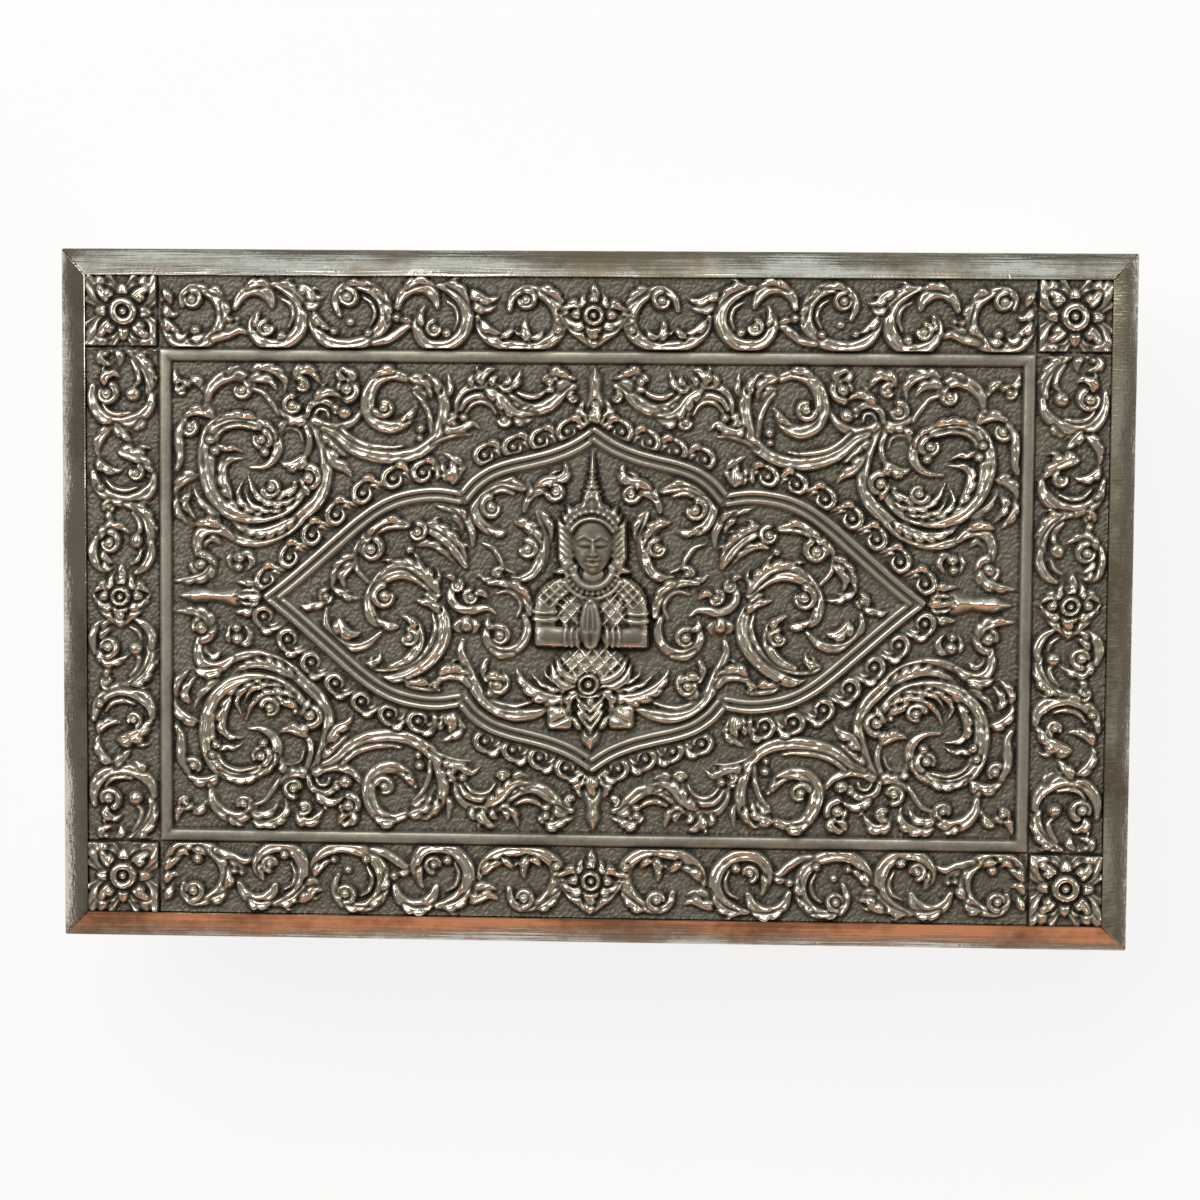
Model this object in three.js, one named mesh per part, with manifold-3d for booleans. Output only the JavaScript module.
// A hinged cigar box of sheet silver with a cedar lining and a chased lid. Millimetres, +Z up.
// The origin is the centre of the base, on the surface that the box stands on.
// The front is at -Y, the hinge runs along the back, and the lid is shown closed.
import * as THREE from "three";
import { mergeGeometries, mergeVertices } from "three/addons/utils/BufferGeometryUtils.js";
import Module from "manifold-3d";

const wasm = await Module();
wasm.setup();

// Driving dimensions
const LID_WIDTH = 210;
const LID_DEPTH = 136;
const OVERHANG = 3.2; // how far the lid's frame stands out over the walls
const SHEET = 1.2; // silver sheet of the walls and skirts
const SOLDER_GAP = 0.1; // between silver pieces that are soldered together
const FIT_GAP = 0.3; // between the cedar and what it is fitted in
const WALL_HEIGHT = 36;
const RIM_GAP = 0.2; // between the rims of the closed box
const SKIRT_HEIGHT = 10;

const LIP_HEIGHT = 2; // the bevelled frame's upright edge
const BEVEL_WIDTH = 5.2;
const BEVEL_RISE = 2.9;
const GROUND_DEPTH = 1.1; // from the frame's inner edge down to the plate's ground
const PLATE_THICKNESS = 1;
const LID_BOARD_THICKNESS = 4;

const BASE_SHEET = 1.2;
const FOOT_REACH = 2.2; // how far the base moulding stands out from the walls
const FOOT_HEIGHT = 4.4;
const FOOT_LIP = 2.2;
const FLOOR_THICKNESS = 3.5;
const LINING_THICKNESS = 4.5;
const LINING_RISE = 3.6; // how far the cedar stands above the silver rim
const LINING_CHAMFER = 1;

const KNUCKLES = 7;
const HINGE_MARGIN = 17.8; // from the box's corners to the ends of the hinge
const KNUCKLE_GAP = 0.3;
const KNUCKLE_RADIUS = 1.3;
const PIN_RADIUS = 0.6;
const PIN_CLEARANCE = 0.1;
const PIN_HEAD_RADIUS = 1;
const PIN_HEAD_LENGTH = 0.7;
const GROOVE_CLEARANCE = 0.12; // round the knuckles, in the bearer strips
const BEARER_DEPTH = 1; // past the hinge axis
const BEARER_HEIGHT = 2;
const STOP_ANGLE = 101; // where the two bearer strips meet, in degrees

// Places that follow from them
const boxWidth = LID_WIDTH - 2 * OVERHANG;
const boxDepth = LID_DEPTH - 2 * OVERHANG;
const insideWidth = boxWidth - 2 * SHEET;
const insideDepth = boxDepth - 2 * SHEET;
const skirtBottom = WALL_HEIGHT + RIM_GAP;
const frameBottom = skirtBottom + SKIRT_HEIGHT + SOLDER_GAP;
const frameTop = frameBottom + LIP_HEIGHT + BEVEL_RISE;
const ground = frameTop - GROUND_DEPTH;
const plateBottom = ground - PLATE_THICKNESS;
const plateWidth = LID_WIDTH - 2 * BEVEL_WIDTH - 2 * SOLDER_GAP;
const plateDepth = LID_DEPTH - 2 * BEVEL_WIDTH - 2 * SOLDER_GAP;
const axisY = boxDepth / 2 + KNUCKLE_RADIUS + SOLDER_GAP;
const axisZ = WALL_HEIGHT + RIM_GAP / 2;

const rad = THREE.MathUtils.degToRad;

// Materials
const silver = (name, colour, roughness) =>
  new THREE.MeshStandardMaterial({ name, color: colour, roughness, metalness: 1 });
const POLISHED = silver("polished silver", 0xb9b8b0, 0.22);
const CHASED = silver("chased silver", 0x8c877b, 0.32);
const PLAIN = silver("plain silver", 0xa8a69d, 0.3);
const HINGE = silver("hinge silver", 0x9a978d, 0.35);
const CEDAR = new THREE.MeshStandardMaterial({ name: "cedar", color: 0x9c6238, roughness: 0.7 });

const root = new THREE.Group();
const lid = new THREE.Group();
root.add(lid);

function place(name, geometry, material, parent = root) {
  const mesh = new THREE.Mesh(geometry, material);
  mesh.name = name;
  parent.add(mesh);
  return mesh;
}

// Solids for joining and cutting
function solidOf(geometry) {
  const bare = geometry.index ? geometry.toNonIndexed() : geometry.clone();
  bare.deleteAttribute("normal");
  bare.deleteAttribute("uv");
  const merged = mergeVertices(bare, 1e-4);
  return new wasm.Manifold(
    new wasm.Mesh({
      numProp: 3,
      vertProperties: merged.attributes.position.array,
      triVerts: new Uint32Array(merged.index.array),
    }),
  );
}

function geometryOf(solid) {
  const mesh = solid.getMesh();
  const geometry = new THREE.BufferGeometry();
  geometry.setAttribute("position", new THREE.BufferAttribute(mesh.vertProperties.slice(), 3));
  geometry.setIndex(new THREE.BufferAttribute(mesh.triVerts.slice(), 1));
  const flat = geometry.toNonIndexed();
  flat.computeVertexNormals();
  return flat;
}

// A closed skin over rings of points: every ring has as many points, and the two end rings are capped.
function skin(rings, closed = false) {
  const count = rings[0].length;
  const positions = [];
  const quad = (a, b, c, d) => positions.push(...a, ...b, ...c, ...a, ...c, ...d);
  const steps = closed ? rings.length : rings.length - 1;
  for (let i = 0; i < steps; i++) {
    const here = rings[i];
    const next = rings[(i + 1) % rings.length];
    for (let k = 0; k < count; k++) {
      const l = (k + 1) % count;
      quad(here[k], here[l], next[l], next[k]);
    }
  }
  if (!closed) {
    for (const [ring, front] of [[rings[0], false], [rings[rings.length - 1], true]]) {
      for (let k = 1; k < count - 1; k++) {
        if (front) positions.push(...ring[0], ...ring[k], ...ring[k + 1]);
        else positions.push(...ring[0], ...ring[k + 1], ...ring[k]);
      }
    }
  }
  const geometry = new THREE.BufferGeometry();
  geometry.setAttribute("position", new THREE.BufferAttribute(new Float32Array(positions), 3));
  geometry.computeVertexNormals();
  return geometry;
}

// One mitred side of a rectangular frame. The section's points are [inward, up] from the outer bottom edge.
// The strip lies along X at the front, and its two ends are cut at 45 degrees.
function mitredStrip(outerLength, outerAcross, section, bottom) {
  const end = (side) =>
    section.map(([inward, up]) => [
      side * (outerLength / 2 - inward - SOLDER_GAP / 2),
      -outerAcross / 2 + inward,
      bottom + up,
    ]);
  return skin([end(-1), end(1)]);
}

function frameOf(prefix, width, depth, section, bottom, material, parent = root) {
  const sides = [
    ["front", width, depth, 0],
    ["right", depth, width, 90],
    ["back", width, depth, 180],
    ["left", depth, width, 270],
  ];
  for (const [side, along, across, turn] of sides) {
    const strip = place(`${prefix}_${side}`, mitredStrip(along, across, section, bottom), material, parent);
    strip.rotation.z = rad(turn);
  }
}

const upright = (thickness, height) => [[0, 0], [thickness, 0], [thickness, height], [0, height]];

function slab(width, depth, bottom, thickness) {
  return new THREE.BoxGeometry(width, depth, thickness).translate(0, 0, bottom + thickness / 2);
}

// The box: silver walls on a base sheet, a bevelled base moulding, and cedar boards inside
frameOf("wall", boxWidth, boxDepth, upright(SHEET, WALL_HEIGHT), 0, PLAIN);
frameOf(
  "base_moulding",
  boxWidth + 2 * (FOOT_REACH + SOLDER_GAP),
  boxDepth + 2 * (FOOT_REACH + SOLDER_GAP),
  [[0, 0], [FOOT_REACH, 0], [FOOT_REACH, FOOT_HEIGHT], [0, FOOT_LIP]],
  0,
  POLISHED,
);
place(
  "base_plate",
  slab(insideWidth - 2 * SOLDER_GAP, insideDepth - 2 * SOLDER_GAP, 0, BASE_SHEET),
  PLAIN,
);

const boardWidth = insideWidth - 2 * FIT_GAP;
const boardDepth = insideDepth - 2 * FIT_GAP;
const floorBottom = BASE_SHEET + SOLDER_GAP;
const liningBottom = floorBottom + FLOOR_THICKNESS + SOLDER_GAP;
const liningHeight = WALL_HEIGHT + LINING_RISE - liningBottom;
place("cedar_floor", slab(boardWidth, boardDepth, floorBottom, FLOOR_THICKNESS), CEDAR);
frameOf(
  "cedar",
  boardWidth,
  boardDepth,
  [
    [0, 0],
    [LINING_THICKNESS, 0],
    [LINING_THICKNESS, liningHeight],
    [LINING_CHAMFER, liningHeight],
    [0, liningHeight - LINING_CHAMFER],
  ],
  liningBottom,
  CEDAR,
);

// The lid: skirts, a bevelled and mitred frame, a cedar board, and the chased plate
frameOf("skirt", boxWidth, boxDepth, upright(SHEET, SKIRT_HEIGHT), skirtBottom, PLAIN, lid);
frameOf(
  "lid_frame",
  LID_WIDTH,
  LID_DEPTH,
  [[0, 0], [BEVEL_WIDTH, 0], [BEVEL_WIDTH, LIP_HEIGHT + BEVEL_RISE], [0, LIP_HEIGHT]],
  frameBottom,
  POLISHED,
  lid,
);
place(
  "lid_board",
  slab(
    plateWidth - 2 * FIT_GAP,
    plateDepth - 2 * FIT_GAP,
    plateBottom - SOLDER_GAP - LID_BOARD_THICKNESS,
    LID_BOARD_THICKNESS,
  ),
  CEDAR,
  lid,
);

// The hinge: two bearer strips with a hollow edge, seven knuckles in the hollows, and one pin
const bearerOffset = BEARER_DEPTH * Math.tan(rad(STOP_ANGLE / 2));
const grooveRadius = KNUCKLE_RADIUS + GROOVE_CLEARANCE;
const hingeLength = boxWidth - 2 * HINGE_MARGIN;
const knuckleLength = hingeLength / KNUCKLES;

function bearerStrip(up) {
  const wallSide = -(axisY - boxDepth / 2) + SOLDER_GAP;
  const half = Math.sqrt(grooveRadius ** 2 - bearerOffset ** 2);
  const start = Math.atan2(-bearerOffset, -half);
  const hollow = [];
  const hollowSteps = 8;
  for (let i = 0; i <= hollowSteps; i++) {
    const a = start + ((-Math.PI - 2 * start) * i) / hollowSteps;
    hollow.push([grooveRadius * Math.cos(a), grooveRadius * Math.sin(a)]);
  }
  const outline = [
    [wallSide, -bearerOffset],
    [wallSide, -bearerOffset - BEARER_HEIGHT],
    [BEARER_DEPTH, -bearerOffset - BEARER_HEIGHT],
    [BEARER_DEPTH, -bearerOffset],
    ...hollow.reverse(),
  ];
  const shape = new THREE.Shape(outline.map(([y, z]) => new THREE.Vector2(y, up ? -z : z)));
  const strip = new THREE.ExtrudeGeometry(shape, { depth: hingeLength, bevelEnabled: false });
  // The shape's x and y become the part's y and z, and the extrusion runs along x.
  strip.translate(0, 0, -hingeLength / 2);
  strip.applyMatrix4(new THREE.Matrix4().set(0, 0, 1, 0, 1, 0, 0, axisY, 0, 1, 0, axisZ, 0, 0, 0, 1));
  return strip;
}

function knuckleTube(index) {
  const tube = new THREE.Shape();
  tube.absarc(0, 0, KNUCKLE_RADIUS, 0, 2 * Math.PI);
  const bore = new THREE.Path();
  bore.absarc(0, 0, PIN_RADIUS + PIN_CLEARANCE, 0, 2 * Math.PI, true);
  tube.holes.push(bore);
  const length = knuckleLength - KNUCKLE_GAP;
  const solid = new THREE.ExtrudeGeometry(tube, { depth: length, bevelEnabled: false, curveSegments: 24 });
  const start = (index - KNUCKLES / 2) * knuckleLength + KNUCKLE_GAP / 2;
  solid.rotateY(Math.PI / 2);
  return solid.translate(start, axisY, axisZ);
}

function hingePin() {
  const half = hingeLength / 2;
  const outline = [
    [0, -half - PIN_HEAD_LENGTH],
    [PIN_HEAD_RADIUS * 0.7, -half - PIN_HEAD_LENGTH],
    [PIN_HEAD_RADIUS, -half - PIN_HEAD_LENGTH / 2],
    [PIN_HEAD_RADIUS, -half],
    [PIN_RADIUS, -half],
    [PIN_RADIUS, half],
    [PIN_HEAD_RADIUS, half],
    [PIN_HEAD_RADIUS, half + PIN_HEAD_LENGTH / 2],
    [PIN_HEAD_RADIUS * 0.7, half + PIN_HEAD_LENGTH],
    [0, half + PIN_HEAD_LENGTH],
  ];
  const pin = new THREE.LatheGeometry(outline.map(([r, y]) => new THREE.Vector2(r, y)), 24);
  return pin.rotateZ(-Math.PI / 2).translate(0, axisY, axisZ);
}

place("hinge_bearer_box", bearerStrip(false), HINGE);
place("hinge_bearer_lid", bearerStrip(true), HINGE, lid);
for (let i = 0; i < KNUCKLES; i++) {
  const onLid = i % 2 === 1;
  place(`hinge_knuckle_${i + 1}_${onLid ? "lid" : "box"}`, knuckleTube(i), HINGE, onLid ? lid : root);
}
place("hinge_pin", hingePin(), HINGE);

// The chased plate. Raised forms are joined to the sheet; each runs down into it by this much.
const SUNK = 0.5;

// The ornament is set out on a plate of this size, and spreads with the plate that is cut.
const DRAWN_WIDTH = 199.4;
const DRAWN_DEPTH = 125.4;
const spread = ([x, y]) => [(x * plateWidth) / DRAWN_WIDTH, (y * plateDepth) / DRAWN_DEPTH];

// A raised strip along a flat path. Widths and heights change along it with the share t.
function ridge(drawn, widthAt, heightAt, closed = false) {
  const path = drawn.map(spread);
  const count = path.length;
  const rings = path.map(([x, y], i) => {
    const a = closed ? path[(i + count - 1) % count] : path[Math.max(i - 1, 0)];
    const b = closed ? path[(i + 1) % count] : path[Math.min(i + 1, count - 1)];
    const along = new THREE.Vector2(b[0] - a[0], b[1] - a[1]).normalize();
    const across = [-along.y, along.x];
    const t = i / (count - 1);
    const half = widthAt(t, i) / 2;
    const at = (side, up) => [x + across[0] * side * half, y + across[1] * side * half, ground + up];
    const height = heightAt(t, i);
    return [at(-1, -SUNK), at(1, -SUNK), at(0, height)];
  });
  return skin(rings, closed);
}

// A rounded boss with an oval outline
function boss([x, y], radiusX, radiusY, height) {
  const outline = [[0, -SUNK], [1, -SUNK], [0.85, height * 0.7], [0, height]];
  const turned = new THREE.LatheGeometry(outline.map(([r, z]) => new THREE.Vector2(r, z)), 10);
  turned.rotateX(Math.PI / 2).scale(radiusX, radiusY, 1);
  const [atX, atY] = spread([x, y]);
  return turned.translate(atX, atY, ground);
}

const swell = (most) => (t) => most * (0.3 + 0.7 * Math.sin(Math.PI * (0.1 + 0.8 * t)));
const taper = (most) => (t) => most * (1 - 0.85 * t * t);
const steady = (value) => () => value;

// A smooth stem through a few points
const STEM_HEIGHT = 1.5;
const STEM_FULLNESS = 1.4; // a stem's width at its foot over the width of its rounded top
function stem(points, width) {
  const bend = new THREE.SplineCurve(points.map(([x, y]) => new THREE.Vector2(x, y)));
  const path = bend.getSpacedPoints(points.length + 1).map((p) => [p.x, p.y]);
  return ridge(path, swell(width * STEM_FULLNESS), steady(STEM_HEIGHT));
}

// A leaf or a petal: a straight ridge that comes to a point
function leaf(from, to, width, height = STEM_HEIGHT) {
  return ridge([from, to], taper(width), (t) => height * (1 - 0.4 * t));
}

// A spiral stem: an arc whose radius changes steadily
function curl(x, y, from, to, start, turn, width) {
  const steps = Math.max(5, Math.round(Math.abs(turn) / 45));
  const path = Array.from({ length: steps + 1 }, (_, i) => {
    const t = i / steps;
    const r = from + (to - from) * t;
    const a = rad(start + turn * t);
    return [x + r * Math.cos(a), y + r * Math.sin(a)];
  });
  return ridge(path, swell(width * STEM_FULLNESS), steady(STEM_HEIGHT));
}

const mirrored = (points, sx, sy) => points.map(([x, y]) => [x * sx, y * sy]);

// The straight raised moulding between the border and the field
const BORDER_WIDTH = 15.5; // from the frame to the middle of the moulding
const MOULDING_WIDTH = 2.6;
const MOULDING_HEIGHT = 1.2;
const MOULDING_EDGE = 0.4; // the moulding's height at its two edges

function moulding() {
  const w = plateWidth / 2 - BORDER_WIDTH;
  const d = plateDepth / 2 - BORDER_WIDTH;
  const h = MOULDING_WIDTH / 2;
  const corners = [[-1, -1], [1, -1], [1, 1], [-1, 1]];
  const rings = corners.map(([sx, sy]) => {
    const at = (out, up) => [sx * (w + out), sy * (d + out), ground + up];
    return [
      at(-h, -SUNK),
      at(-h, MOULDING_EDGE),
      at(-0.4 * h, MOULDING_HEIGHT),
      at(0.4 * h, MOULDING_HEIGHT),
      at(h, MOULDING_EDGE),
      at(h, -SUNK),
    ];
  });
  return skin(rings, true);
}

// The pointed cartouche: two parallel rails, and a chain of beads outside them.
// One quarter is set out here, from the side point over the cusp to the top.
const RAIL_WIDTH = 1.6;
const RAIL_HEIGHT = 1.3;
const RAIL_SPACING = 1.7;
const CARTOUCHE_QUARTER = [
  [63.6, 0], [57.5, 5], [51.5, 10.4], [45.5, 15.5], [40.5, 18.6], [35.5, 20.1], [30.5, 20.5], [25.7, 19.6],
  [24.1, 22], [21.2, 24.2], [17.2, 25.9], [13, 27], [8.5, 28.3], [4.2, 30], [0, 32.6],
];

function cartoucheLoop(outward) {
  const right = CARTOUCHE_QUARTER;
  const upper = [...right, ...mirrored(right.slice(0, -1).reverse(), -1, 1)];
  const loop = [...upper, ...mirrored(upper.slice(1, -1).reverse(), 1, -1)];
  const count = loop.length;
  return loop.map(([x, y], i) => {
    const a = loop[(i + count - 1) % count];
    const b = loop[(i + 1) % count];
    const before = new THREE.Vector2(x - a[0], y - a[1]).normalize();
    const after = new THREE.Vector2(b[0] - x, b[1] - y).normalize();
    const middle = before.clone().add(after).normalize();
    const stretch = 1 / Math.max(0.45, middle.dot(after));
    return [x + middle.y * outward * stretch, y - middle.x * outward * stretch];
  });
}

const CHAIN_OFFSET = 3.6; // from the middle of the two rails
const CHAIN_WIDTH = 4;
const CHAIN_HEIGHT = 1.7;
const CHAIN_BEADS = 60;

function beadChain() {
  const points = cartoucheLoop(CHAIN_OFFSET).map(([x, y]) => new THREE.Vector2(x, y));
  const path = new THREE.SplineCurve([...points, points[0]]).getSpacedPoints(2 * CHAIN_BEADS);
  path.pop();
  const onBead = (most) => (t, i) => (i % 2 ? most : most * 0.5);
  return ridge(path.map((p) => [p.x, p.y]), onBead(CHAIN_WIDTH), onBead(CHAIN_HEIGHT), true);
}

// A flower of eight petals round a bead
function flower(x, y, radius) {
  const petals = 8;
  const middle = boss([x, y], radius * 0.42, radius * 0.42, 1.9);
  const leaves = Array.from({ length: petals }, (_, i) => {
    const a = (i / petals) * 2 * Math.PI;
    const reach = radius * (i % 2 ? 1.1 : 0.9);
    const at = (r) => [x + r * Math.cos(a), y + r * Math.sin(a)];
    return leaf(at(radius * 0.3), at(reach), radius * 0.75);
  });
  return [middle, ...leaves];
}

const FLOWER_INSET = 7.1; // from the frame to the middle line of the border
const CORNER_FLOWER = 6.2;
const SIDE_FLOWER = 5;
const borderX = DRAWN_WIDTH / 2 - FLOWER_INSET;
const borderY = DRAWN_DEPTH / 2 - FLOWER_INSET;

// Scrolls between the cartouche and a corner of the field, for the upper right corner
const BIG_SCROLL = [
  [56.3, 21.6], [62.4, 16.7], [71.3, 17.2], [76.1, 24.4], [74.5, 32], [68.6, 34.9], [62.9, 31.7], [63, 26.9],
];
const RING_SCROLL = { x: 38.7, y: 38.6, from: 5.4, to: 4.6, width: 2.6 };
const SPANDREL_STEMS = [
  [BIG_SCROLL, 3.2],
  [[[72.4, 13.6], [66.5, 11.4], [59.6, 13.9], [53.9, 19.4], [52.2, 25.6], [55.4, 34.6]], 2.8],
  [[[53, 33], [47.2, 29.3], [38.9, 27.2], [31.6, 30.6], [29.3, 38], [32.4, 43.8]], 2.8],
  [[[26.9, 36.6], [25.3, 40.6], [20.8, 41.7], [14.2, 37.6], [9.6, 37.6], [4.1, 41.6]], 2.6],
  [[[71, 12.4], [74.8, 14.3], [77.7, 11.2], [77, 5.5]], 2.8],
  [[[74, 35.2], [79.8, 34.4], [81.4, 29.6], [82, 25.2]], 2.4],
  [[[75.6, 37], [76, 41], [80.4, 41.4]], 2.4],
  [[[75.2, 38.4], [72.6, 42.9], [67.8, 42.7], [61.6, 35.8]], 2.6],
];

// The larger loose leaves of the same quarter: the field's first, then the two borders'
const LEAVES = [
  [[[52.6, 31], [49.8, 27.4], [47.2, 23.8]], 3.6],
  [[[66.9, 44.4], [61.8, 44.1], [60.4, 39.7]], 3],
  [[[58.4, 42.6], [55.9, 44.4], [53.3, 41.8]], 2.8],
  [[[70, 56.9], [67, 60.3], [62.6, 57]], 3.6],
  [[[38.7, 57], [35.8, 60.8], [30.5, 57.2]], 3.6],
  [[[93.4, 28.4], [88.8, 26.6], [86.6, 23.8]], 4],
];
const LEAF_HEIGHT = 1.6;

// Scrolls inside the cartouche, for its right half
const FIELD_STEMS = [
  [[[31.6, 0.2], [29.3, -5.2], [32.6, -12], [38, -15.5], [44.6, -15]], 3],
  [[[37.6, -3], [34.4, -6.6], [36.6, -11.8], [39.6, -12.9]], 2.2],
  [[[40, -4.8], [43.9, -0.9], [40.9, 4.6], [34.7, 5], [30.4, 0.8]], 3.2],
  [[[43.2, 8.2], [44.4, 12], [39.8, 14.4], [30.9, 12.9], [24.9, 6.6]], 3],
  [[[52.2, -2], [50.6, -7.4], [44.4, -8.4], [41.6, -6]], 2.4],
  [[[44.2, 3.6], [46.8, 8.8], [50.6, 5], [51.2, 1.8]], 1.8],
  [[[23.6, 10.6], [25.2, 15.9], [32.2, 18.5]], 2.2],
  [[[16.8, 13.6], [22, 15], [22, 20.6], [13.4, 21.9]], 2.8],
  [[[13.2, 17.8], [9.2, 22.2], [5.4, 27.2]], 2.2],
  [[[15, 15.6], [11, 13], [10.6, 7.6], [15.6, 4.5]], 2.6],
  [[[20.4, 3.5], [15.9, 3.2], [12.6, -2.6]], 2.2],
  [[[20.7, -4.6], [20.1, -9.4], [15.1, -9.7], [12.9, -4.8]], 2.2],
  [[[26.4, 3.6], [27.9, 0.2], [24.6, -2.2], [19.2, -2.6]], 1.8],
  [[[25.8, -8], [25.2, -12.8], [22, -19.4], [15.5, -23], [8.4, -21.6]], 2.8],
  [[[30.4, -15.8], [26, -15.4], [24.4, -17]], 1.8],
];

// Long border, right half: each scroll's centre along the border. Every other one turns the other way.
const BORDER_SCROLLS = [78.6, 62, 46, 29.8, 14.6];
const SCROLL_RADIUS = 6;
const SCROLL_HEART = 4.8; // the radius at which a scroll ends
const SCROLL_WIDTH = 2.5;
const SIDE_SCROLLS = [40.4, 25, 11.2]; // upper half of the short border

const reliefs = [moulding()];
for (const outward of [RAIL_SPACING / 2, -RAIL_SPACING / 2]) {
  reliefs.push(ridge(cartoucheLoop(outward), steady(RAIL_WIDTH), steady(RAIL_HEIGHT), true));
}
reliefs.push(beadChain());
for (const sx of [-1, 1]) {
  reliefs.push(...flower(sx * borderX, 0, SIDE_FLOWER), ...flower(0, sx * borderY, SIDE_FLOWER));
  for (const [points, width] of FIELD_STEMS) reliefs.push(stem(mirrored(points, sx, 1), width));
  for (const sy of [-1, 1]) {
    reliefs.push(...flower(sx * borderX, sy * borderY, CORNER_FLOWER));
    for (const [points, width] of SPANDREL_STEMS) reliefs.push(stem(mirrored(points, sx, sy), width));
    for (const [points, width] of LEAVES) {
      reliefs.push(ridge(mirrored(points, sx, sy), swell(width), steady(LEAF_HEIGHT)));
    }
    const hand = sx * sy;
    const facing = (angle) => {
      const [x, y] = [sx * Math.cos(rad(angle)), sy * Math.sin(rad(angle))];
      return (Math.atan2(y, x) * 180) / Math.PI;
    };
    const { x: ringX, y: ringY, from, to, width: ringWidth } = RING_SCROLL;
    reliefs.push(curl(sx * ringX, sy * ringY, from, to, facing(200), hand * 270, ringWidth));
    BORDER_SCROLLS.forEach((x, i) => {
      const [start, turn] = i % 2 ? [82, 285] : [-12, -295];
      const [at, to] = [sx * x, SCROLL_HEART];
      reliefs.push(curl(at, sy * borderY, SCROLL_RADIUS, to, facing(start), hand * turn, SCROLL_WIDTH));
    });
    SIDE_SCROLLS.forEach((y, i) => {
      const [start, turn] = i % 2 ? [0, -185] : [95, 270];
      const [at, to] = [sy * y, SCROLL_RADIUS - 0.6];
      reliefs.push(curl(sx * borderX, at, SCROLL_RADIUS, to, facing(start), hand * turn, SCROLL_WIDTH));
    });
  }
}

// The four pointed finials where the cartouche nears the moulding: a bud, then a spear
for (const side of [-1, 1]) {
  reliefs.push(boss([side * 68.6, 0], 2.6, 3.2, 1.6), leaf([side * 69, 0], [side * 81.6, 0], 4, 1.8));
  reliefs.push(boss([0, side * 36.6], 2.6, 2, 1.6), leaf([0, side * 37], [0, side * 45.2], 3.6, 1.8));
}

// The praying figure over its lotus, in plain masses. Heights are above the plate's ground.
const FIGURE_TOP = 4.4;
reliefs.push(
  boss([0, -12], 6.6, 3.6, FIGURE_TOP * 0.55),
  boss([0, -2], 7.4, 6.4, FIGURE_TOP * 0.55),
  boss([0, 5], 2.6, 3, FIGURE_TOP * 0.7),
  boss([0, 10.6], 3.9, 5.2, FIGURE_TOP),
  boss([0, 16.4], 5.2, 2.4, FIGURE_TOP * 0.85),
  boss([0, 19.6], 3, 2.4, FIGURE_TOP * 0.72),
  leaf([0, 20], [0, 29.8], 3.8, FIGURE_TOP * 0.7),
  leaf([0, -8.6], [0, 0.4], 3.6, FIGURE_TOP * 0.95),
  boss([0, -16.6], 2.2, 2.2, FIGURE_TOP * 0.65),
  leaf([0, -18], [0, -29.4], 4.6, 1.9),
);
const HALF_FIGURE = [
  [[[3, 3], [8.2, 2], [9.2, -3], [9.2, -6.8]], 5.6, FIGURE_TOP * 0.75],
  [[[11.4, -7], [6, -7], [1.2, -6.8]], 5.4, FIGURE_TOP * 0.8],
  [[[4.6, 7.6], [5.7, 11.4], [6, 15.8]], 3.6, FIGURE_TOP * 0.6],
  [[[3, 7.2], [8, 5.4]], 1.6, FIGURE_TOP * 0.55],
  [[[1.6, -16.4], [5.4, -15.2], [7.6, -11.4]], 2.4, 1.9],
  [[[2, -17.6], [7, -17], [10.6, -14.6]], 2.6, 1.7],
  [[[2.4, -19.4], [9, -19.6], [14.4, -14.6]], 3, 1.9],
  [[[1.4, -20.6], [3.6, -22.6], [6.4, -24]], 2.2, 1.4],
];
for (const sx of [-1, 1]) {
  for (const [points, width, height] of HALF_FIGURE) {
    reliefs.push(ridge(mirrored(points, sx, 1), swell(width), steady(height)));
  }
}

let plate = solidOf(slab(plateWidth, plateDepth, plateBottom, PLATE_THICKNESS));
for (const relief of reliefs) plate = plate.add(solidOf(relief));
place("lid_plate", geometryOf(plate), CHASED, lid);

export default root;
